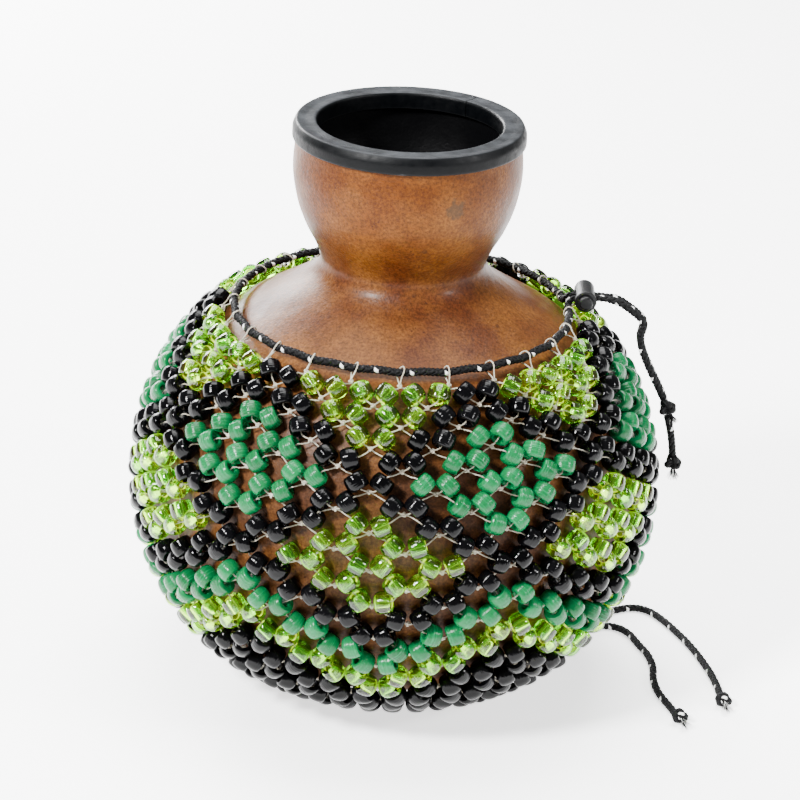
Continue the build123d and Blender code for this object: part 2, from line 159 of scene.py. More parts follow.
def gourd_material():
    """Varnished gourd skin: tan and orange with a reddish waist, mottled and speckled, black inside."""
    s = Shader("gourd_skin", Specular_IOR_Level=0.09, Coat_Weight=0.03, Coat_Roughness=0.2)
    wander = s.ramp(s.noise(22.0, 3.0), 0.3, 0.7, -0.016, 0.016)
    height = s.math("ADD", s.axis("Z"), wander)
    by_height = s.colours(
        s.ramp(height, 0.0, 0.23),
        (0.00, (0.042, 0.0190, 0.0100)),
        (0.55, (0.056, 0.0215, 0.0085)),
        (0.645, (0.092, 0.0340, 0.0085)),
        (0.70, (0.064, 0.0195, 0.0048)),
        (0.755, (0.050, 0.0125, 0.0030)),
        (0.80, (0.054, 0.0130, 0.0012)),
        (0.87, (0.080, 0.0210, 0.0008)),
        (0.97, (0.070, 0.0180, 0.0004)),
    )
    clouds = s.ramp(s.noise(38.0, 5.0, roughness=0.6), 0.42, 0.72)
    colour = s.mix(s.math("MULTIPLY", clouds, 0.65), by_height, (0.165, 0.062, 0.0110))
    patches = s.ramp(s.noise(16.0, 4.0, s.stretched((1, 1, 0.6))), 0.52, 0.75)
    colour = s.mix(s.math("MULTIPLY", patches, 0.55), colour, (0.038, 0.0082, 0.0013))
    grain = s.ramp(s.noise(900.0, 3.0, roughness=0.7), 0.35, 0.68, 0.5, 1.25)
    colour = s.mix(1.0, colour, s.node("CombineColor", inputs={0: grain, 1: grain, 2: grain}), "MULTIPLY")
    specks = s.ramp(s.spots(420.0), 0.10, 0.19, 1.0, 0.0)
    few = s.ramp(s.noise(60.0, 2.0), 0.5, 0.62)
    specks = s.math("MULTIPLY", s.math("MULTIPLY", specks, few), 0.8)
    colour = s.mix(specks, colour, (0.016, 0.006, 0.003))
    scars = s.ramp(s.spots(58.0), 0.045, 0.075, 1.0, 0.0)
    colour = s.mix(s.math("MULTIPLY", scars, 0.55), colour, (0.02, 0.008, 0.004))
    from_smudge = tuple(-value for value in SMUDGE)
    smudge_at = s.node("Mapping", inputs={"Vector": s.coords, "Location": from_smudge})
    smudge = s.node("VectorMath", "Value", inputs={0: smudge_at}, operation="LENGTH")
    smudge = s.math("ADD", smudge, s.ramp(s.noise(330.0, 3.0), 0.3, 0.7, -0.0018, 0.0018))
    smudge = s.ramp(smudge, 0.0028, 0.0040, 0.62, 0.0)
    colour = s.mix(smudge, colour, (0.030, 0.020, 0.010))
    colour = s.mix(s.attribute("inside"), colour, (0.0012, 0.0012, 0.0014))
    dull = s.ramp(s.noise(45.0, 4.0), 0.3, 0.7, 0.33, 0.52)
    bumps = ((s.noise(140.0, 4.0), 0.00035), (s.noise(1300.0, 2.0), 0.00014), (s.spots(420.0), 0.00004))
    return s.finish(colour, dull, bumps)


def rim_material():
    """Black rubber, paler on its upper face, where a sheen is painted in patches, and along its edges, where
    highlights are painted.
    """
    s = Shader("rim_rubber", Specular_IOR_Level=0.09)
    # Painted sheen: the faces that look up are paler, in patches of noise.
    up = s.axis("Z", s.node("NewGeometry", "Normal"))
    top = s.ramp(up, 0.55, 0.95)
    sheen_and_wear = s.ramp(s.noise(160.0, 5.0), 0.35, 0.75, 0.25, 1.0)
    colour = s.mix(s.math("MULTIPLY", top, sheen_and_wear), (0.0004, 0.0006, 0.0009), (0.030, 0.0325, 0.036))
    # Painted highlights: the sharp edges are paler.
    edge_highlight = s.ramp(s.node("NewGeometry", "Pointiness"), 0.51, 0.58)
    colour = s.mix(s.math("MULTIPLY", edge_highlight, 0.5), colour, (0.035, 0.036, 0.039))
    dull = s.ramp(s.noise(420.0, 4.0), 0.3, 0.7, 0.36, 0.56)
    return s.finish(colour, dull, ((s.noise(1500.0, 3.0), 0.00006), (s.noise(90.0, 2.0), 0.0002)))


def moulding_lines(s):
    """Fine broken lines that run round a bead, from its own length and angle kept on its mesh."""
    place = s.node("CombineXYZ", inputs={0: s.attribute("along"), 1: s.attribute("round"), 2: 0.0})
    return s.noise(1.0, 1.0, s.stretched((1.9, 0.7, 1.0), place), 0.5)


def black_bead_material():
    """Glossy black plastic with fine moulding lines."""
    s = Shader("bead_black", Specular_IOR_Level=0.13)
    lines = moulding_lines(s)
    shade = s.colours(s.attribute("shade"), (0.0, (0.0004, 0.0004, 0.0005)), (1.0, (0.0012, 0.0012, 0.0015)))
    dull = s.ramp(s.noise(700.0, 4.0), 0.35, 0.7, 0.04, 0.11)
    return s.finish(shade, dull, ((lines, 0.00016), (s.noise(420.0, 2.0), 0.00008)))


def green_bead_material():
    """Opaque emerald plastic with fine moulding lines."""
    s = Shader("bead_green", Specular_IOR_Level=0.2)
    s.set(Subsurface_Weight=0.08, Subsurface_Radius=(0.2, 1.0, 0.4), Subsurface_Scale=0.0008)
    lines = moulding_lines(s)
    base = s.colours(s.attribute("shade"), (0.0, (0.0, 0.056, 0.014)), (1.0, (0.0, 0.104, 0.029)))
    streaks = s.ramp(lines, 0.52, 0.70)
    colour = s.mix(s.math("MULTIPLY", streaks, 0.4), base, (0.0, 0.19, 0.066))
    dull = s.ramp(s.noise(800.0, 3.0), 0.3, 0.7, 0.16, 0.3)
    return s.finish(colour, dull, ((lines, 0.00028), (s.noise(520.0, 2.0), 0.00008)))


def lime_bead_material():
    """Clear green plastic, with painted yellow light on the wall of its hole where that is seen edge-on, and
    a painted glow round the hole's ends.
    """
    # The emission colour is the yellow of a painted glow: the bead is no lamp.
    s = Shader("bead_lime", IOR=1.45, Emission_Color=(0.58, 0.64, 0.0))
    core = s.attribute("core")
    facing = s.node("LayerWeight", "Facing", inputs={"Blend": 0.5})
    tint = s.colours(s.attribute("shade"), (0.0, (0.22, 0.66, 0.04)), (1.0, (0.50, 0.84, 0.04)))
    body = s.mix(s.ramp(facing, 0.35, 0.95), tint, (0.01, 0.34, 0.04))
    # Painted glow round each end of the hole, and faintly over the whole wall: it shines by emission and
    # lets less light through.
    ends = s.ramp(s.math("ABSOLUTE", s.math("SUBTRACT", core, 0.5)), 0.30, 0.5, 1.0, 0.0)
    painted_glow = s.math("MAXIMUM", s.math("MULTIPLY", ends, 0.85), s.math("MULTIPLY", core, 0.05))
    # Painted light: the wall of the hole turns yellow where it is seen edge-on.
    painted_wall_light = s.math("MULTIPLY", core, s.ramp(facing, 0.4, 0.85))
    colour = s.mix(s.math("MAXIMUM", painted_glow, painted_wall_light), body, (0.72, 0.80, 0.01))
    s.set(Transmission_Weight=s.math("SUBTRACT", 1.0, painted_glow), Emission_Strength=s.math("MULTIPLY", painted_glow, 0.7))
    return s.finish(colour, 0.02, ((moulding_lines(s), 0.00012),))


def string_material():
    """Off-white waxed string."""
    s = Shader("net_string")
    tone = s.ramp(s.noise(160.0, 4.0), 0.3, 0.7)
    colour = s.colours(tone, (0.0, (0.20, 0.17, 0.12)), (0.6, (0.34, 0.31, 0.24)), (1.0, (0.46, 0.43, 0.36)))
    return s.finish(colour, s.ramp(tone, 0.0, 1.0, 0.65, 0.5), ((s.noise(2600.0, 3.0), 0.00008),))


def cord_material():
    """Black braid with a white tracer yarn."""
    s = Shader("braided_cord", Specular_IOR_Level=0.12)
    fuzz = s.noise(2200.0, 4.0)
    black = s.colours(fuzz, (0.25, (0.0005, 0.0005, 0.0006)), (0.75, (0.0035, 0.0035, 0.004)))
    white = s.colours(fuzz, (0.2, (0.55, 0.55, 0.53)), (0.7, (0.86, 0.86, 0.84)))
    return s.finish(s.mix(s.attribute("tracer"), black, white), 0.6, ((fuzz, 0.0001),))


def lock_material():
    """Moulded dark plastic, finely grained and a little rubbed."""
    s = Shader("lock_plastic", Specular_IOR_Level=0.25)
    worn = s.ramp(s.noise(260.0, 5.0), 0.45, 0.8)
    colour = s.mix(s.math("MULTIPLY", worn, 0.5), (0.001, 0.0011, 0.0013), (0.006, 0.0063, 0.007))
    dull = s.ramp(s.noise(1200.0, 3.0), 0.3, 0.7, 0.34, 0.5)
    return s.finish(colour, dull, ((s.noise(3200.0, 2.0), 0.00003),))


def spring_material():
    """Bright drawn steel wire."""
    s = Shader("spring_wire", Metallic=1.0)
    drawn = s.noise(1800.0, 2.0)
    return s.finish((0.55, 0.55, 0.57), s.ramp(drawn, 0.2, 0.8, 0.18, 0.38), ((drawn, 0.00001),))


def floor_material():
    """White ground that glows a little, so that it is as bright as the photograph's background."""
    s = Shader("floor_white", Emission_Color=(1, 1, 1), Emission_Strength=1.6)
    tone = s.colours(s.noise(3.0, 2.0), (0.3, (0.925, 0.925, 0.925)), (0.7, (0.94, 0.94, 0.94)))
    return s.finish(tone, 0.85)


# --- Mesh building -------------------------------------------------------------------------------


def mesh_piece(name, node, points, faces, material, body, fields=None):
    """A smooth mesh from arrays of points and quads, riding on a body in place of a CAD node."""
    mesh = bpy.data.meshes.new(name)
    mesh.vertices.add(len(points))
    mesh.vertices.foreach_set("co", np.ascontiguousarray(points, np.float32).ravel())
    mesh.loops.add(faces.size)
    mesh.loops.foreach_set("vertex_index", np.ascontiguousarray(faces, np.int32).ravel())
    mesh.polygons.add(len(faces))
    mesh.polygons.foreach_set("loop_start", np.arange(0, faces.size, faces.shape[1], dtype=np.int32))
    mesh.polygons.foreach_set("use_smooth", np.ones(len(faces), bool))
    for field, values in (fields or {}).items():
        layer = mesh.attributes.new(field, "FLOAT", "POINT")
        layer.data.foreach_set("value", np.ascontiguousarray(values, np.float32))
    mesh.update(calc_edges=True)
    mesh.validate()
    mesh.materials.append(material)
    piece = bpy.data.objects.new(name, mesh)
    bpy.context.scene.collection.objects.link(piece)
    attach(piece, body)
    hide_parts(node)
    return piece


def grid_faces(rows, columns, open_rows=True, open_columns=False):
    """Quads over a grid of points that closes on itself wherever it isn't open."""
    row = np.arange(rows - 1 if open_rows else rows)[:, None]
    column = np.arange(columns - 1 if open_columns else columns)[None, :]
    after_row, after_column = (row + 1) % rows, (column + 1) % columns
    corners = (
        row * columns + column,
        row * columns + after_column,
        after_row * columns + after_column,
        after_row * columns + column,
    )
    return np.stack(np.broadcast_arrays(*corners), -1).reshape(-1, 4)


def repeat_faces(faces, size, count):
    """The same faces for each of count copies of a mesh of size points."""
    return (faces[None] + (np.arange(count) * size)[:, None, None]).reshape(-1, faces.shape[1])


def unit(vectors):
    return vectors / np.linalg.norm(vectors, axis=-1, keepdims=True)


def smooth_path(points, count):
    """A Catmull-Rom curve through the points, given as (..., points, axes), as count points."""
    points = np.asarray(points, float)
    ends = 2 * points[..., :1, :] - points[..., 1:2, :], 2 * points[..., -1:, :] - points[..., -2:-1, :]
    padded = np.concatenate((ends[0], points, ends[1]), axis=-2)
    at = np.linspace(0, points.shape[-2] - 1, count)
    span = np.minimum(at.astype(int), points.shape[-2] - 2)
    t = (at - span)[:, None]
    a, b, c, d = (padded[..., span + shift, :] for shift in range(4))
    return 0.5 * (2 * b + (c - a) * t + (2 * a - 5 * b + 4 * c - d) * t**2 + (3 * b - a - 3 * c + d) * t**3)


def transported(path):
    """Two directions across a path at each of its points, turning with it but not about it."""
    along = unit(np.gradient(path, axis=0))
    start = np.cross(along[0], (0.0, 0.0, 1.0))
    if np.linalg.norm(start) < 0.2:
        start = np.cross(along[0], (1.0, 0.0, 0.0))
    across = [unit(start)]
    for direction in along[1:]:
        across.append(unit(across[-1] - direction * np.dot(across[-1], direction)))
    across = np.array(across)
    return across, np.cross(along, across)


def resample(path, step):
    """Evenly spaced points along a path, and how far along it each one is."""
    lengths = np.concatenate(([0.0], np.cumsum(np.linalg.norm(np.diff(path, axis=0), axis=1))))
    at = np.linspace(0, lengths[-1], max(3, int(lengths[-1] / step)))
    return np.stack([np.interp(at, lengths, path[:, axis]) for axis in range(3)], -1), at


def ring_angles(sides):
    """The angles of the corners of a ring."""
    return np.arange(sides) * 2 * math.pi / sides


BRAID_CARRIERS = 4
BRAID_TURN = 13.0 * MM
BRAID_STEP = 0.34 * MM
YARN_SIDES = 6
# Shares of the braid's radius: where its yarns run, how far they weave in and out, and their half sizes.
YARN_OUT, YARN_WEAVE, YARN_THICK, YARN_WIDE = 0.66, 0.17, 0.27, 0.56
TRACER_ON_TOP = 0.15
PINCHED = 0.82
PINCH_EASE = 2 * MM


def braid(path, radius, pinch=None):
    """Points, faces and tracer values of a round braid of eight flat yarns.

    It is thinner inside the box pinch, given as its two corners.
    """
    path, at = resample(path, BRAID_STEP)
    across, beside = transported(path)
    corner = ring_angles(YARN_SIDES)
    twist = 2 * math.pi * at / BRAID_TURN
    width = np.full(len(path), radius)
    if pinch is not None:
        outside = np.linalg.norm(np.maximum(np.maximum(pinch[0] - path, path - pinch[1]), 0), axis=1)
        width = radius * (PINCHED + (1 - PINCHED) * np.clip(outside / PINCH_EASE, 0, 1))
    all_points, all_faces, tracer = [], [], []
    for way in (1, -1):
        for carrier in range(BRAID_CARRIERS):
            turn = way * twist + carrier * 2 * math.pi / BRAID_CARRIERS
            weave = way * np.cos(BRAID_CARRIERS * twist)
            out = across * np.cos(turn)[:, None] + beside * np.sin(turn)[:, None]
            side = beside * np.cos(turn)[:, None] - across * np.sin(turn)[:, None]
            centre = path + out * (width * (YARN_OUT + YARN_WEAVE * weave))[:, None]
            ring = centre[:, None] + width[:, None, None] * (
                out[:, None] * (YARN_THICK * np.sin(corner))[None, :, None]
                + side[:, None] * (YARN_WIDE * np.cos(corner))[None, :, None]
            )
            all_faces.append(grid_faces(len(path), YARN_SIDES) + len(path) * YARN_SIDES * len(all_faces))
            all_points.append(ring.reshape(-1, 3))
            # One yarn is the white tracer. It shows where it lies on top, in every other stretch.
            shows = (way == 1) * (carrier == 0) * (np.cos(2 * twist) > 0) * (weave > TRACER_ON_TOP)
            tracer.append(np.repeat(shows.astype(float), YARN_SIDES))
    return np.concatenate(all_points), np.concatenate(all_faces), np.concatenate(tracer)


FIBRES = 60
FIBRE_LENGTH = 4.8 * MM
FIBRE_RADIUS = 0.13 * MM
FIBRE_STEPS, FIBRE_SIDES = 6, 4
FIBRE_SPREAD = 0.5
TUFT_RADIUS = 0.9 * MM
WHITE_FIBRES = 0.15


def fibres(start, direction):
    """The frayed end of a cord: fine fibres that fan out of one point, a few of them white."""
    at = np.linspace(0, 1, FIBRE_STEPS)
    corner = ring_angles(FIBRE_SIDES)
    helper = np.array((0.0, 0.0, 1.0)) if abs(direction[2]) < 0.8 else np.array((1.0, 0.0, 0.0))
    across = unit(np.cross(direction, helper))
    beside = np.cross(direction, across)
    points = []
    for _ in range(FIBRES):
        turn, lean, length = rng.uniform(0, 2 * math.pi), rng.uniform(0, FIBRE_SPREAD), rng.uniform(0.6, 1.0)
        away = across * math.cos(turn) + beside * math.sin(turn)
        base = start + away * rng.uniform(0, TUFT_RADIUS)
        ahead = np.outer(at * length * FIBRE_LENGTH, direction)
        curve = base + ahead + np.outer(at**1.6 * lean * FIBRE_LENGTH, away)
        thin = FIBRE_RADIUS * (1 - 0.6 * at)
        ring = across[None] * np.cos(corner)[:, None] + beside[None] * np.sin(corner)[:, None]
        points.append((curve[:, None] + ring[None] * thin[:, None, None]).reshape(-1, 3))
    each = FIBRE_STEPS * FIBRE_SIDES
    faces = repeat_faces(grid_faces(FIBRE_STEPS, FIBRE_SIDES), each, FIBRES)
    return np.concatenate(points), faces, (rng.random(FIBRES) < WHITE_FIBRES).repeat(each).astype(float)


def joined(*meshes):
    """Several (points, faces, field) meshes as one."""
    offsets = np.cumsum([0] + [len(points) for points, _, _ in meshes])
    points = np.concatenate([points for points, _, _ in meshes])
    faces = np.concatenate([faces + offset for (_, faces, _), offset in zip(meshes, offsets)])
    return points, faces, np.concatenate([field for _, _, field in meshes])


# --- The four free tails of cord ----------------------------------------------------------------

cord_black = cord_material()


def cord_piece(node, points, faces, tracer):
    """A length of braid, or a knot tied in it, in place of a CAD node."""
    return mesh_piece(node + "_braid", node, points, faces, cord_black, "net", {"tracer": tracer})


def nurbs_points(name, points):
    """The line of a NURBS curve with these control points, in millimetres, as points in metres."""
    data = bpy.data.curves.new(name, "CURVE")
    data.dimensions = "3D"
    data.resolution_u = 24
    spline = data.splines.new("NURBS")
    spline.points.add(len(points) - 1)
    for control, point in zip(spline.points, points):
        control.co = (*(value * MM for value in point), 1)
    spline.order_u = 3
    spline.use_endpoint_u = True
    curve = bpy.data.objects.new(name, data)
    line = bpy.data.meshes.new_from_object(curve)
    path = np.array([vertex.co for vertex in line.vertices])
    bpy.data.meshes.remove(line)
    bpy.data.objects.remove(curve)
    bpy.data.curves.remove(data)
    return path


BRAID_RADIUS = 1.5 * MM
TOP_TAIL_SHARED = (
    (84.2, 157.1),
    (91.2, 152.6),
    (97.3, 147.5),
    (95.2, 141.9),
    (96.7, 135.4),
    (100.0, 128.3),
    (104.0, 120.9),
)
LONG_TAIL = (
    (63.63, 17.0, 153.2),
    (64.4, 13.9, 153.2),
    (65.0, 11.5, 154.9),
    (66.9, 10.7, 157.1),
    *((x, 10.7, z) for x, z in TOP_TAIL_SHARED),
    *((x, 10.7, z) for x, z in ((107.7, 113.4), (109.6, 105.5), (112.0, 97.0), (112.9, 89.2))),
)
SHORT_TAIL = (
    (65.88, 1.4, 153.2),
    (65.8, 4.0, 153.2),
    (65.6, 6.6, 154.6),
    (67.6, 7.7, 157.1),
    *((x, 7.7, z) for x, z in TOP_TAIL_SHARED),
    (106.9, 7.7, 115.1),
)
BOTTOM_TAIL_A = (
    (57.1, 16.8, 5.6),
    (64.8, 20.3, 3.5),
    (74.5, 25.8, 1.6),
    (86.5, 31.4, 1.5),
    (97.6, 38.2, 1.5),
    (105.2, 41.6, 1.5),
    (111.8, 39.6, 1.5),
    (116.6, 33.4, 1.5),
    (121.8, 23.6, 1.5),
    (127.8, 10.2, 1.5),
    (132.6, -5.4, 1.5),
    (135.9, -19.6, 1.5),
    (137.0, -33.0, 1.5),
)
BOTTOM_TAIL_B = (
    (57.9, 13.4, 5.6),
    (66.2, 15.0, 3.4),
    (77.0, 18.6, 1.6),
    (88.4, 23.6, 1.5),
    (97.0, 23.8, 1.5),
    (102.6, 18.4, 1.5),
    (105.6, 9.4, 1.5),
    (109.6, 0.2, 1.5),
    (111.0, -10.4, 1.5),
    (110.0, -20.8, 1.5),
    (111.6, -31.8, 1.5),
    (115.6, -41.6, 1.5),
    (117.4, -47.6, 1.5),
)


def trefoil(count, endpoint, depth):
    """Points of a closed three-lobed knot, 3 in radius, that rises and falls by depth."""
    t = np.linspace(0, 2 * math.pi, count, endpoint=endpoint)
    x, y = np.sin(t) + 2 * np.sin(2 * t), np.cos(t) - 2 * np.cos(2 * t)
    return np.stack((x, y, -depth * np.sin(3 * t)), -1)


CORD_KNOT_POINTS, CORD_KNOT_DEPTH = 260, 1.25
CORD_KNOT_SCALE = 0.80 * MM
CORD_KNOT_BRAID = 1.35 * MM
KNOT_TO_FRAY = 3.0 * MM
LINE_TO_KNOT = 3.4 * MM


def overhand_knot(centre, along, normal):
    """A tight overhand knot in the braid: one closed three-lobed loop, with its frayed tip."""
    axes = np.stack((np.cross(normal, along), along, normal))
    path = centre + CORD_KNOT_SCALE * trefoil(CORD_KNOT_POINTS, True, CORD_KNOT_DEPTH) @ axes
    return joined(braid(path, CORD_KNOT_BRAID), fibres(centre + along * KNOT_TO_FRAY, along))


# The box that the lock's barrel sweeps as it slides out: the tails are squeezed in there.
LOCK_TRAVEL = 4 * MM
LOCK_MARGIN = 0.5 * MM
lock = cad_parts["lock_barrel"]
lock_corners = np.array([lock.matrix_world @ Vector(corner) for corner in lock.bound_box])
lock_high = lock_corners.max(axis=0) + LOCK_MARGIN + (LOCK_TRAVEL, 0, 0)
lock_box = lock_corners.min(axis=0) - LOCK_MARGIN, lock_high


def tail(name, route, knot_shift=(0, 0, 0)):
    """A free tail of braided cord with the knot at its end, each in place of its own CAD node."""
    path = nurbs_points(name, route)
    piece = cord_piece(name, *braid(path, BRAID_RADIUS, lock_box))
    along = unit(path[-1] - path[-2])
    normal = np.array((0.0, -1.0, 0.0)) if abs(along[2]) > 0.7 else UP
    centre = path[-1] + along * LINE_TO_KNOT + np.array(knot_shift) * MM
    knot = cord_piece(name + "_knot", *overhand_knot(centre, along, normal))


tail("top_tail_long", LONG_TAIL)
tail("top_tail_short", SHORT_TAIL, (0, -1.8, 0))
tail("bottom_tail_a", BOTTOM_TAIL_A, (0, 0, 1.6))
tail("bottom_tail_b", BOTTOM_TAIL_B, (0, 0, 1.6))

# --- Gourd and rim -------------------------------------------------------------------------------

# The outside as (radius, height): arcs that run into each other down the bulb, and a curve up the neck.
BULB = ((62.8, 149.7), (91.1, 115.8), (98.0, 80.0), (86.4, 38.2), (60.0, 14.3), (26.0, 0.0))
SHOULDER_SLOPE = (0.843, -0.537)
NECK = (
    (62.8, 149.7),
    (45.6, 160.1),
    (36.1, 166.9),
    (32.5, 173.5),
    (34.8, 180.5),
    (38.9, 188.3),
    (42.4, 197.8),
    (44.3, 209.5),
    (43.7, 220.5),
    (42.7, 227.4),
)
WALL = 5.2
ARC_POINTS, NECK_POINTS, FOOT_POINTS = 26, 110, 8
GOURD_SIDES = 240
# How far the skin swells in and out, in millimetres, at each height in metres.
SWELL_HEIGHTS = (0.0, 0.004, 0.15, 0.17, 0.215, 0.224)
SWELL_DEPTHS = (0.0, 0.12, 0.16, 0.5, 0.4, 0.0)


def tangent_arc(start, slope, end, count):
    """Points of the arc that leaves start along slope and reaches end, and its slope there."""
    start, end, slope = np.array(start), np.array(end), unit(np.array(slope))
    chord = end - start
    normal = np.array((-slope[1], slope[0]))
    radius = chord @ chord / (2 * normal @ chord)
    centre = start + normal * radius
    sweep = 2 * math.atan2(normal @ chord, slope @ chord)
    turn = np.linspace(0, sweep, count)[:, None]
    points = centre - normal * radius * np.cos(turn) + slope * radius * np.sin(turn)
    return points, slope * math.cos(sweep) + normal * math.sin(sweep)


def gourd_outline():
    """(radius, height) of the gourd's outside, from the middle of the foot up to the lip."""
    runs, slope = [], SHOULDER_SLOPE
    for start, end in zip(BULB, BULB[1:]):
        points, slope = tangent_arc(start, slope, end, ARC_POINTS)
        runs.append(points[:-1])
    side = np.concatenate((*runs, [BULB[-1]]))[::-1]
    neck = smooth_path(NECK, NECK_POINTS)[1:]
    foot = np.stack((np.linspace(0, BULB[-1][0], FOOT_POINTS, endpoint=False), np.zeros(FOOT_POINTS)), -1)
    return np.concatenate((foot, side, neck))


def swell(points, amount):
    """Slow unevenness of a grown surface, in the units of amount, at points in metres."""
    x, y, z = (points / 0.1).T
    waves = np.sin(2.1 * x + 1.3 * z + 0.4) * np.cos(1.7 * y - 0.8 * z) + 0.6 * np.sin(4.3 * y + 2.9 * z)
    return amount * (waves + 0.5 * np.cos(5.1 * x - 3.7 * y + 1.1)) / 2.1


def turned(profile, sides, first=0.0, last=2 * math.pi, closed=True):
    """A surface of revolution of a (radius, height) profile in millimetres, as points and faces."""
    angle = np.linspace(first, last, sides, endpoint=not closed)
    points = np.stack(
        (
            np.outer(profile[:, 0], np.sin(angle)),
            -np.outer(profile[:, 0], np.cos(angle)),
            np.outer(profile[:, 1], np.ones(sides)),
        ),
        -1,
    )
    return points * MM, grid_faces(len(profile), sides, open_columns=not closed)


def gourd_lining(outline, slopes):
    """(radius, height) of the gourd's inside, from the lip down to the middle of its flat floor."""
    inward = np.stack((-slopes[:, 1], slopes[:, 0]), -1)
    above_foot = outline[:, 1] > 3
    lining = (outline + inward * WALL)[above_foot][::-1]
    lining[0, 1] = outline[-1, 1]
    return np.concatenate((lining, [(0.0, lining[-1, 1])]))


outline = gourd_outline()
slopes = unit(np.gradient(outline, axis=0))
skin, skin_faces = turned(np.concatenate((outline, gourd_lining(outline, slopes))), GOURD_SIDES)
inside = np.zeros(skin.shape[:2])
inside[len(outline) :] = 1.0
inside = inside.ravel()
skin = skin.reshape(-1, 3)
outward = unit(skin * (1, 1, 0) + (1e-9, 0, 0))
depth = np.interp(skin[:, 2], SWELL_HEIGHTS, SWELL_DEPTHS) * (1 - inside) * MM
skin += outward * swell(skin, depth)[:, None]
skin_faces = skin_faces[:, ::-1]
mesh_piece("gourd", "gourd_shell", skin, skin_faces, gourd_material(), "gourd", {"inside": inside})


def rounded(corners, size, steps=5):
    """A closed outline with each corner cut by a small curve."""
    corners = np.array(corners, float)
    points = []
    for before, corner, after in zip(np.roll(corners, 1, 0), corners, np.roll(corners, -1, 0)):
        start = corner + unit(before - corner) * min(size, np.linalg.norm(before - corner) / 2.2)
        end = corner + unit(after - corner) * min(size, np.linalg.norm(after - corner) / 2.2)
        for t in np.linspace(0, 1, steps):
            points.append((1 - t) ** 2 * start + 2 * t * (1 - t) * corner + t**2 * end)
    return np.array(points)


RIM = (
    (45.0, 222.4),
    (44.9, 226.6),
    (43.6, 229.4),
    (40.0, 228.7),
    (36.3, 229.1),
    (35.6, 228.2),
    (35.7, 222.4),
    (37.0, 222.4),
    (37.3, 227.6),
    (42.9, 227.6),
    (43.9, 222.4),
)
RIM_ROUNDING = 0.85
RIM_SIDES = 300
RIM_SWELL = 0.25
RIM_SWELLS_ABOVE = 225.5 * MM
# The two ends of the rubber strip meet at the back of the cup, with a hairline gap between them.
SEAM_ANGLE = math.radians(143.0)
SEAM_HALF = 0.0045
rim_outline = rounded(RIM, RIM_ROUNDING)
rim_outline = np.concatenate((rim_outline, rim_outline[:1]))
seam_ends = SEAM_ANGLE + SEAM_HALF, SEAM_ANGLE + 2 * math.pi - SEAM_HALF
rim, rim_faces = turned(rim_outline, RIM_SIDES, *seam_ends, closed=False)
rim = rim.reshape(-1, 3)
rim[:, 2] += swell(rim, RIM_SWELL) * MM * (rim[:, 2] > RIM_SWELLS_ABOVE)
mesh_piece("rubber_rim", "mouth_rim", rim, rim_faces, rim_material(), "gourd")

# --- Net: each bead, strand and knot takes its place from its CAD solid --------------------------

SAME_PLACE = 2e-6


def solids(node):
    """The loose parts of a CAD node's mesh: a list of (triangle centres, triangle areas, points)."""
    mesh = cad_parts[node].data
    points = np.empty(len(mesh.vertices) * 3, np.float32)
    mesh.vertices.foreach_get("co", points)
    points = points.reshape(-1, 3).astype(float)
    mesh.calc_loop_triangles()
    corners = np.empty(len(mesh.loop_triangles) * 3, np.int32)
    mesh.loop_triangles.foreach_get("vertices", corners)
    cells = np.round(points / SAME_PLACE).astype(np.int64)
    _, first, merged = np.unique(cells, axis=0, return_index=True, return_inverse=True)
    points, corners = points[first], merged.ravel()[corners.reshape(-1, 3)]
    label = np.arange(len(points))
    while True:
        lowest = label[corners].min(axis=1)
        before = label.copy()
        for column in range(3):
            np.minimum.at(label, corners[:, column], lowest)
        label = label[label]
        if np.array_equal(before, label):
            break
    owner = label[corners[:, 0]]
    order = np.argsort(owner, kind="stable")
    cuts = np.flatnonzero(np.diff(owner[order])) + 1
    found = []
    for group in np.split(order, cuts):
        triangle = points[corners[group]]
        sides = triangle[:, 1:] - triangle[:, :1]
        area = np.linalg.norm(np.cross(sides[:, 0], sides[:, 1]), axis=1)
        found.append((triangle.mean(axis=1), area, triangle.reshape(-1, 3)))
    return found


def middles_and_axes(node, longest):
    """The middle of each solid of a node, the direction it is longest or shortest in, and how far."""
    middles, axes, lengths = [], [], []
    for centres, area, points in solids(node):
        middle = (centres * area[:, None]).sum(axis=0) / area.sum()
        offset = centres - middle
        spread = (offset[:, :, None] * offset[:, None, :] * area[:, None, None]).sum(axis=0)
        _, vectors = np.linalg.eigh(spread)
        axis = vectors[:, -1 if longest else 0]
        middles.append(middle)
        axes.append(axis if axis[2] > 0 else -axis)
        lengths.append(np.ptp((points - middle) @ axes[-1]))
    return np.array(middles), np.array(axes), np.array(lengths)


NET_REACH = 4.6


def away_from_gourd(points):
    """The direction out of the gourd at points of the net, about NET_REACH mm outside it."""
    radius = np.hypot(points[:, 0], points[:, 1]) / MM - NET_REACH
    gaps = np.hypot(outline[None, :, 0] - radius[:, None], outline[None, :, 1] - points[:, 2:3] / MM)
    nearest = gaps.argmin(axis=1)
    normal = np.stack((slopes[nearest, 1], -slopes[nearest, 0]), -1)
    round_ = unit(points[:, :2])
    return np.stack((round_[:, 0] * normal[:, 0], round_[:, 1] * normal[:, 0], normal[:, 1]), -1)


def turned_vectors(vectors, axes, angles):
    """Each vector turned about its own axis by its own angle."""
    cosine, sine = np.cos(angles)[:, None], np.sin(angles)[:, None]
    along = (vectors * axes).sum(axis=-1, keepdims=True)
    return vectors * cosine + np.cross(axes, vectors) * sine + axes * along * (1 - cosine)


BEAD_SIDES = 36
BEAD_POINTS = 42
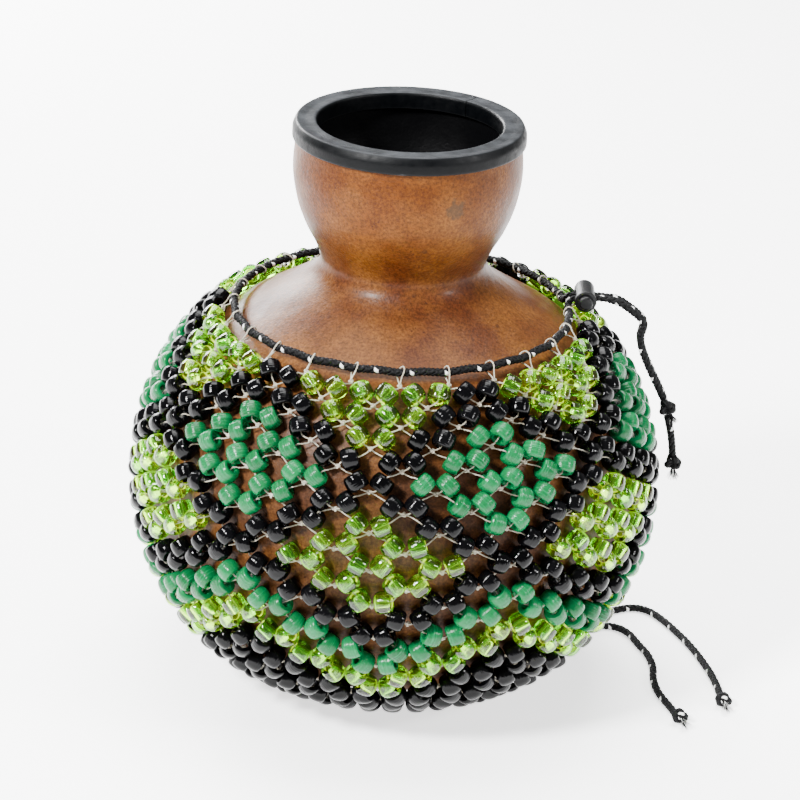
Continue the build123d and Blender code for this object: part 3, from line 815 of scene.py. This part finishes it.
# One bead's outline, (radius, distance along it) in millimetres: out over the crown, in through the hole.
bead_outline = smooth_path(
    (
        (2.08, -3.00),
        (2.55, -3.18),
        (3.36, -3.12),
        (3.96, -2.62),
        (4.31, -1.50),
        (4.44, 0.0),
        (4.31, 1.50),
        (3.96, 2.62),
        (3.36, 3.12),
        (2.55, 3.18),
        (2.08, 3.00),
        (1.86, 2.40),
        (1.78, 0.0),
        (1.86, -2.40),
        (2.08, -3.00),
    ),
    BEAD_POINTS + 1,
)[:-1]
bead_faces = grid_faces(BEAD_POINTS, BEAD_SIDES, open_rows=False)
# The angle round the bead is folded, so that the moulding lines match where it closes.
bead_round = np.tile(np.abs(np.arange(BEAD_SIDES) / BEAD_SIDES - 0.5) * 2, BEAD_POINTS)
bead_along = np.repeat(bead_outline[:, 1], BEAD_SIDES)
# From 1 on the wall of the hole to 0 on the outside, fading over the edge of the hole.
HOLE_EDGE, HOLE_FADE = 2.15, 0.3
bead_core = np.repeat(np.clip((HOLE_EDGE - bead_outline[:, 0]) / HOLE_FADE, 0, 1), BEAD_SIDES)

# How each bead hangs: steeper than its CAD solid, tipped in or out, slid up its string, a little smaller.
LEAN, LEAN_SPREAD, LEAN_LIMITS = 0.17, 0.19, (-0.3, 0.5)
TIP_SPREAD = 0.07
SLIDE, SLIDE_SPREAD = 0.4 * MM, 0.2 * MM
SMALLEST = 0.975


def build_beads(node, material):
    """All the beads of a node, each a little off the angle and place of its neighbours."""
    middles, axes, _ = middles_and_axes(node, longest=False)
    count = len(middles)
    outward = away_from_gourd(middles)
    steeper = unit(np.cross(axes, outward))
    steeper = steeper * np.sign(steeper[:, 2:3])
    lean = np.clip(rng.normal(LEAN, LEAN_SPREAD, (count, 1)), *LEAN_LIMITS)
    tilted = unit(axes + outward * rng.normal(0, TIP_SPREAD, (count, 1)) + steeper * lean)
    outward = unit(outward - tilted * (outward * tilted).sum(axis=1, keepdims=True))
    outward = turned_vectors(outward, tilted, rng.uniform(0, 2 * math.pi, count))
    sideways = np.cross(tilted, outward)
    middles = middles + axes * rng.normal(SLIDE, SLIDE_SPREAD, (count, 1))
    turn = ring_angles(BEAD_SIDES)
    round_ = outward[:, None] * np.cos(turn)[None, :, None] + sideways[:, None] * np.sin(turn)[None, :, None]
    size = rng.uniform(SMALLEST, 1.0, (count, 1, 1, 1)) * MM
    radii, heights = bead_outline.T[:, :, None, None]
    points = middles[:, None, None] + size * (round_[:, None] * radii + tilted[:, None, None] * heights)
    each = BEAD_POINTS * BEAD_SIDES
    fields = {
        "round": (bead_round[None] + rng.uniform(0, 40, (count, 1))).ravel(),
        "along": (bead_along[None] + rng.uniform(0, 400, (count, 1))).ravel(),
        "core": np.tile(bead_core, count),
        "shade": np.repeat(rng.random(count), each),
    }
    faces = repeat_faces(bead_faces, each, count)
    mesh_piece(node + "_turned", node, points.reshape(-1, 3), faces, material, "net", fields)
    return middles, tilted


node_names = sorted(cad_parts)
looks = {"lime": lime_bead_material(), "green": green_bead_material(), "black": black_bead_material()}
bead_middles, bead_axes = [], []
for node in node_names:
    if node.endswith("_beads") or "_beads_row_" in node:
        colour = node.split("_")[0]
        middles, axes = build_beads(node, looks[colour])
        bead_middles.append(middles)
        bead_axes.append(axes)
bead_middles, bead_axes = np.concatenate(bead_middles), np.concatenate(bead_axes)

string_white = string_material()
KNOT_REACH = 1.26 * MM
KNOT_DROP = 1.0 * MM
HOLE_END = 3.1 * MM
STRING_SIDES = 8
STRING_RADIUS = 0.32 * MM
STRING_LAY = 2.6 * MM
STRAND_POINTS, LOOP_POINTS = 40, 64
STRAND_DIP = 1.5 * MM
STRAND_SWAY = 0.18 * MM


def twisted(paths, reference):
    """Two-ply string along each of many paths, given as (strings, points, 3)."""
    along = unit(np.gradient(paths, axis=1))
    across = unit(reference - along * (reference * along).sum(axis=-1, keepdims=True))
    beside = np.cross(along, across)
    steps = np.linalg.norm(np.diff(paths, axis=1), axis=-1)
    at = np.concatenate((np.zeros((len(paths), 1)), np.cumsum(steps, axis=1)), axis=1)
    corner = ring_angles(STRING_SIDES)
    lobes = STRING_RADIUS * (0.66 + 0.34 * np.abs(np.cos(corner)))
    turn = corner[None, None] + (2 * math.pi * at / STRING_LAY)[..., None]
    ring = across[:, :, None] * np.cos(turn)[..., None] + beside[:, :, None] * np.sin(turn)[..., None]
    points = paths[:, :, None] + ring * lobes[None, None, :, None]
    faces = repeat_faces(grid_faces(paths.shape[1], STRING_SIDES), paths.shape[1] * STRING_SIDES, len(paths))
    return points.reshape(-1, 3), faces


def build_strands(node):
    """The strings of a node: from the upper knot, behind the beads beside it, through its own bead."""
    middles, axes, lengths = middles_and_axes(node, longest=True)
    outward = away_from_gourd(middles)
    reach = (lengths / 2 + KNOT_REACH)[:, None]
    upper, lower = middles + axes * reach, middles - axes * reach
    upper = upper - away_from_gourd(upper) * KNOT_DROP
    lower = lower - away_from_gourd(lower) * KNOT_DROP
    to_beads = bead_middles[None] - middles[:, None]
    beyond = to_beads - axes[:, None] * (to_beads * axes[:, None]).sum(axis=-1, keepdims=True)
    own = (np.linalg.norm(beyond, axis=-1) + 0.1 * np.linalg.norm(to_beads, axis=-1)).argmin(axis=1)
    bead, hole = bead_middles[own], bead_axes[own]
    hole = hole * np.sign((hole * axes).sum(axis=1, keepdims=True))
    enter, leave = bead + hole * HOLE_END, bead - hole * HOLE_END
    dip = outward * STRAND_DIP
    sway = np.cross(axes, outward) * rng.normal(0, STRAND_SWAY, (len(middles), 1))
    points = np.stack(
        (
            upper,
            upper * 0.72 + enter * 0.28 - dip + sway,
            upper * 0.35 + enter * 0.65 - dip * 0.7 + sway,
            enter - outward * 0.5 * MM,
            bead - outward * 0.6 * MM,
            leave - outward * 0.4 * MM,
            lower,
        ),
        1,
    )
    points, faces = twisted(smooth_path(points, STRAND_POINTS), outward[:, None])
    mesh_piece(node + "_twisted", node, points, faces, string_white, "net")


SMALL_KNOT_POINTS, SMALL_KNOT_SIDES, SMALL_KNOT_DEPTH = 44, 6, 1.3
SMALL_KNOT_SCALE = 0.2565 * MM
SMALL_KNOT_STRING = 0.342 * MM


def small_knots(centres, outward):
    """A small tight knot at each centre, flat against the gourd, each turned its own way."""
    line = SMALL_KNOT_SCALE * trefoil(SMALL_KNOT_POINTS, False, SMALL_KNOT_DEPTH)
    spin = rng.uniform(0, 2 * math.pi, len(centres))
    helper = unit(np.cross(outward, (0.31, 0.17, 0.93)))
    across = turned_vectors(helper, outward, spin)
    beside = np.cross(outward, across)
    axes = np.stack((across, beside, outward), 1)
    paths = centres[:, None] + np.einsum("pa,cax->cpx", line, axes)
    along = unit(np.roll(paths, -1, 1) - np.roll(paths, 1, 1))
    first = unit(np.cross(along, unit(paths - centres[:, None])))
    second = np.cross(along, first)
    corner = ring_angles(SMALL_KNOT_SIDES)
    ring = first[:, :, None] * np.cos(corner)[:, None] + second[:, :, None] * np.sin(corner)[:, None]
    points = paths[:, :, None] + ring * SMALL_KNOT_STRING
    faces = grid_faces(SMALL_KNOT_POINTS, SMALL_KNOT_SIDES, open_rows=False)
    return points.reshape(-1, 3), repeat_faces(faces, SMALL_KNOT_POINTS * SMALL_KNOT_SIDES, len(centres))


knot_centres = []
for node in node_names:
    if node.startswith("net_strands_"):
        build_strands(node)
    if node.startswith("net_knots_"):
        centres, _, _ = middles_and_axes(node, longest=False)
        outward = away_from_gourd(centres)
        knot_centres.append(centres)
        points, faces = small_knots(centres - outward * KNOT_DROP, outward)
        mesh_piece(node + "_tied", node, points, faces, string_white, "net")
knot_centres = np.concatenate(knot_centres)

# --- Drawstrings and the loops that hold the net on them -----------------------------------------

# Rings and the knot in the lower one as (radius, height).
TOP_RING = (65.9, 153.2)
BOTTOM_RING = (53.2, 7.3)
BOTTOM_KNOT = (55.5, 6.3)
# The y of the upper ring's two ends, the angle of the lower ring's knot and half of the gap there.
TOP_ENDS = (1.4, 17.0)
BOTTOM_EXIT = math.radians(104.7)
BOTTOM_GAP = 8.4
BOTTOM_HALF = math.asin(BOTTOM_GAP / 2 / BOTTOM_RING[0])
LOOPS = 24
LOOP_REACH = 1.95 * MM
LOOP_SLACK = (0.6, 1.5)
LOOP_BOW = 0.25 * MM
RING_POINTS = 900
# How far each loop pulls the ring out and down, how far the ring wavers, and over which angle that fades.
PULL_OUT, PULL_DOWN, WAVER, FADE = 0.22, 0.2, 0.12, 0.15


def ring_line(ring, first, last, phase):
    """A drawstring's line, pulled slightly towards each loop, from one angle to another."""
    angle = np.linspace(first, last, RING_POINTS)
    ease = np.clip(np.minimum(angle - first, last - angle) / FADE, 0, 1)
    pull = ease * np.cos(LOOPS * (angle - phase))
    radius = ring[0] + PULL_OUT * pull + WAVER * ease * np.sin(5 * angle)
    height = ring[1] - PULL_DOWN * pull
    return np.stack((radius * np.sin(angle), -radius * np.cos(angle), height), -1) * MM


def string_loops(node, ring, knots):
    """A loop of string from each knot round the drawstring, its two legs a little apart."""
    angle = np.arctan2(knots[:, 0], -knots[:, 1])
    outward = np.stack((np.sin(angle), -np.cos(angle), np.zeros(len(angle))), -1)
    beside = np.stack((np.cos(angle), np.sin(angle), np.zeros(len(angle))), -1)
    ring_at = outward * ring[0] * MM + UP * ring[1] * MM
    knots = knots - away_from_gourd(knots) * KNOT_DROP * 0.5
    inward = unit(ring_at - knots)
    over = unit(np.cross(beside, inward))
    over = over * np.sign(over[:, 2:3] + 1e-9)
    slack = rng.uniform(*LOOP_SLACK, (len(knots), 1)) * MM
    bow = rng.normal(0, LOOP_BOW, (len(knots), 1))
    over, inward_reach = over * LOOP_REACH, inward * LOOP_REACH
    start = over * (0.2 * MM / LOOP_REACH)
    points = np.stack(
        (
            knots + start,
            knots * 0.5 + (ring_at + over) * 0.5 + beside * (0.5 * slack + bow),
            ring_at + over * 0.97 - inward * 0.5 * MM + beside * slack,
            ring_at + over * 0.72 + inward_reach * 0.72 + beside * slack * 0.8,
            ring_at + inward_reach + beside * slack * 0.2,
            ring_at - over * 0.72 + inward_reach * 0.72 - beside * slack * 0.5,
            ring_at - over * 0.97 - inward * 0.5 * MM - beside * slack * 0.8,
            knots * 0.5 + (ring_at - over) * 0.5 - beside * (0.5 * slack - bow),
            knots - start,
        ),
        1,
    )
    reference = unit(beside[:, None] + 0.01 * outward[:, None])
    points, faces = twisted(smooth_path(points, LOOP_POINTS), reference)
    mesh_piece(node + "_twisted", node, points, faces, string_white, "net")


def drawstring(end, ring, first, last, knots):
    """The drawstring of one end of the net, from one angle to another, and the loops on it."""
    phase = math.atan2(knots[0, 0], -knots[0, 1])
    cord_piece(end + "_drawstring", *braid(ring_line(ring, first, last, phase), BRAID_RADIUS))
    string_loops(end + "_string_loops", ring, knots)


drawstring(
    "top",
    TOP_RING,
    math.pi / 2 + math.asin(TOP_ENDS[1] / TOP_RING[0]),
    math.pi / 2 + math.asin(TOP_ENDS[0] / TOP_RING[0]) + 2 * math.pi,
    knot_centres[np.argsort(-knot_centres[:, 2])[:LOOPS]],
)
drawstring(
    "bottom",
    BOTTOM_RING,
    BOTTOM_EXIT + BOTTOM_HALF,
    BOTTOM_EXIT - BOTTOM_HALF + 2 * math.pi,
    knot_centres[np.argsort(knot_centres[:, 2])[:LOOPS]],
)

outward = np.array((math.sin(BOTTOM_EXIT), -math.cos(BOTTOM_EXIT), 0.0))
centre = (outward * BOTTOM_KNOT[0] + UP * BOTTOM_KNOT[1]) * MM
cord_piece("bottom_ring_knot", *overhand_knot(centre, np.cross(UP, outward), UP))

# --- Cord lock: its CAD solids have the right shape ----------------------------------------------

lock_dark = lock_material()
lock_looks = {"lock_barrel": lock_dark, "lock_plunger": lock_dark, "lock_spring": spring_material()}
for node, material in lock_looks.items():
    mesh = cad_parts[node].data
    mesh.materials.clear()
    mesh.materials.append(material)

# --- Floor and light -----------------------------------------------------------------------------

FLOOR_HALF = 30.0
floor_corners = [(x * FLOOR_HALF, y * FLOOR_HALF, 0.0) for x, y in ((-1, -1), (1, -1), (1, 1), (-1, 1))]
floor_mesh = bpy.data.meshes.new("floor")
floor_mesh.from_pydata(floor_corners, [], [(0, 1, 2, 3)])
floor_mesh.materials.append(floor_material())
floor = bpy.data.objects.new("floor", floor_mesh)
bpy.context.scene.collection.objects.link(floor)


def area_light(name, place, target, size, power):
    """A white rectangular light of size (width, height) in metres that faces its target."""
    data = bpy.data.lights.new(name, "AREA")
    data.shape = "RECTANGLE"
    data.size, data.size_y = size
    data.energy = power
    light = bpy.data.objects.new(name, data)
    bpy.context.scene.collection.objects.link(light)
    place, target = np.array(place), np.array(target)
    back = unit(place - target)
    right = unit(np.cross(UP, back))
    rows = [(*row, at) for row, at in zip(np.stack((right, np.cross(back, right), back), 1), place)]
    light.matrix_world = Matrix([*rows, (0, 0, 0, 1)])


area_light("key", (-0.80, -0.80, 1.10), (0, 0, 0.12), (0.26, 0.26), 85)
area_light("fill", (1.1, -0.5, 0.7), (0, 0, 0.12), (0.22, 0.22), 16)
area_light("back", (-0.75, 1.25, 0.60), (0, 0, 0.15), (0.7, 0.5), 60)
area_light("top", (0.0, 0.7, 2.2), (0, 0.5, 0.0), (1.8, 1.8), 190)
world = bpy.data.worlds.new("studio")
bpy.context.scene.world = world
world.use_nodes = True
world.node_tree.nodes["Background"].inputs["Color"].default_value = (1, 1, 1, 1)
world.node_tree.nodes["Background"].inputs["Strength"].default_value = 0.35
